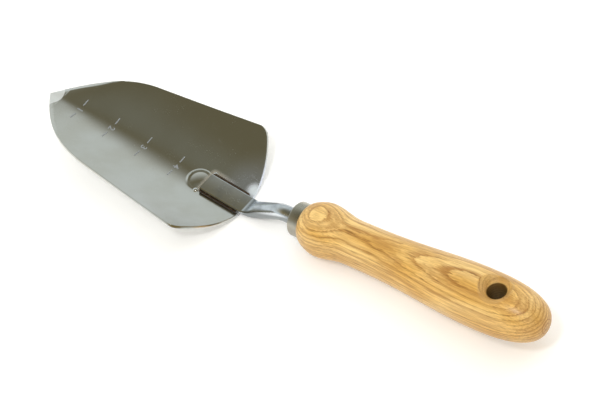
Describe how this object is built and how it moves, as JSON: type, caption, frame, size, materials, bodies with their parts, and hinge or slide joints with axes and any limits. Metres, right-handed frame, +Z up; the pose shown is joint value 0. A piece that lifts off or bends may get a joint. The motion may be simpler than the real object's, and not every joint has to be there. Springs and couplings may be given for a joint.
{
  "type": "garden trowel",
  "caption": "Hand trowel with a trough-shaped pointed steel blade, a cranked tang welded into it, a steel ferrule and a turned ash handle with a hanging hole.",
  "frame": {"origin": "centre of the bounding box's bottom, on the table that the trowel rests on", "axes": "+X from the blade's tip towards the handle's butt, +Y across the blade, +Z up out of the blade's hollow; Y = 0 is the plane of symmetry"},
  "size_m": [0.3612, 0.0894, 0.0384],
  "materials": {
    "blade_steel": "stainless sheet, satin polished",
    "tang_steel": "polished forging",
    "ferrule_steel": "turned, slightly dull",
    "handle_wood": "ash, clear gloss lacquer"
  },
  "bodies": {
    "root": {"blade": "blade_steel", "tang": "tang_steel", "ferrule": "ferrule_steel", "handle": "handle_wood"}
  },
  "joints": []
}
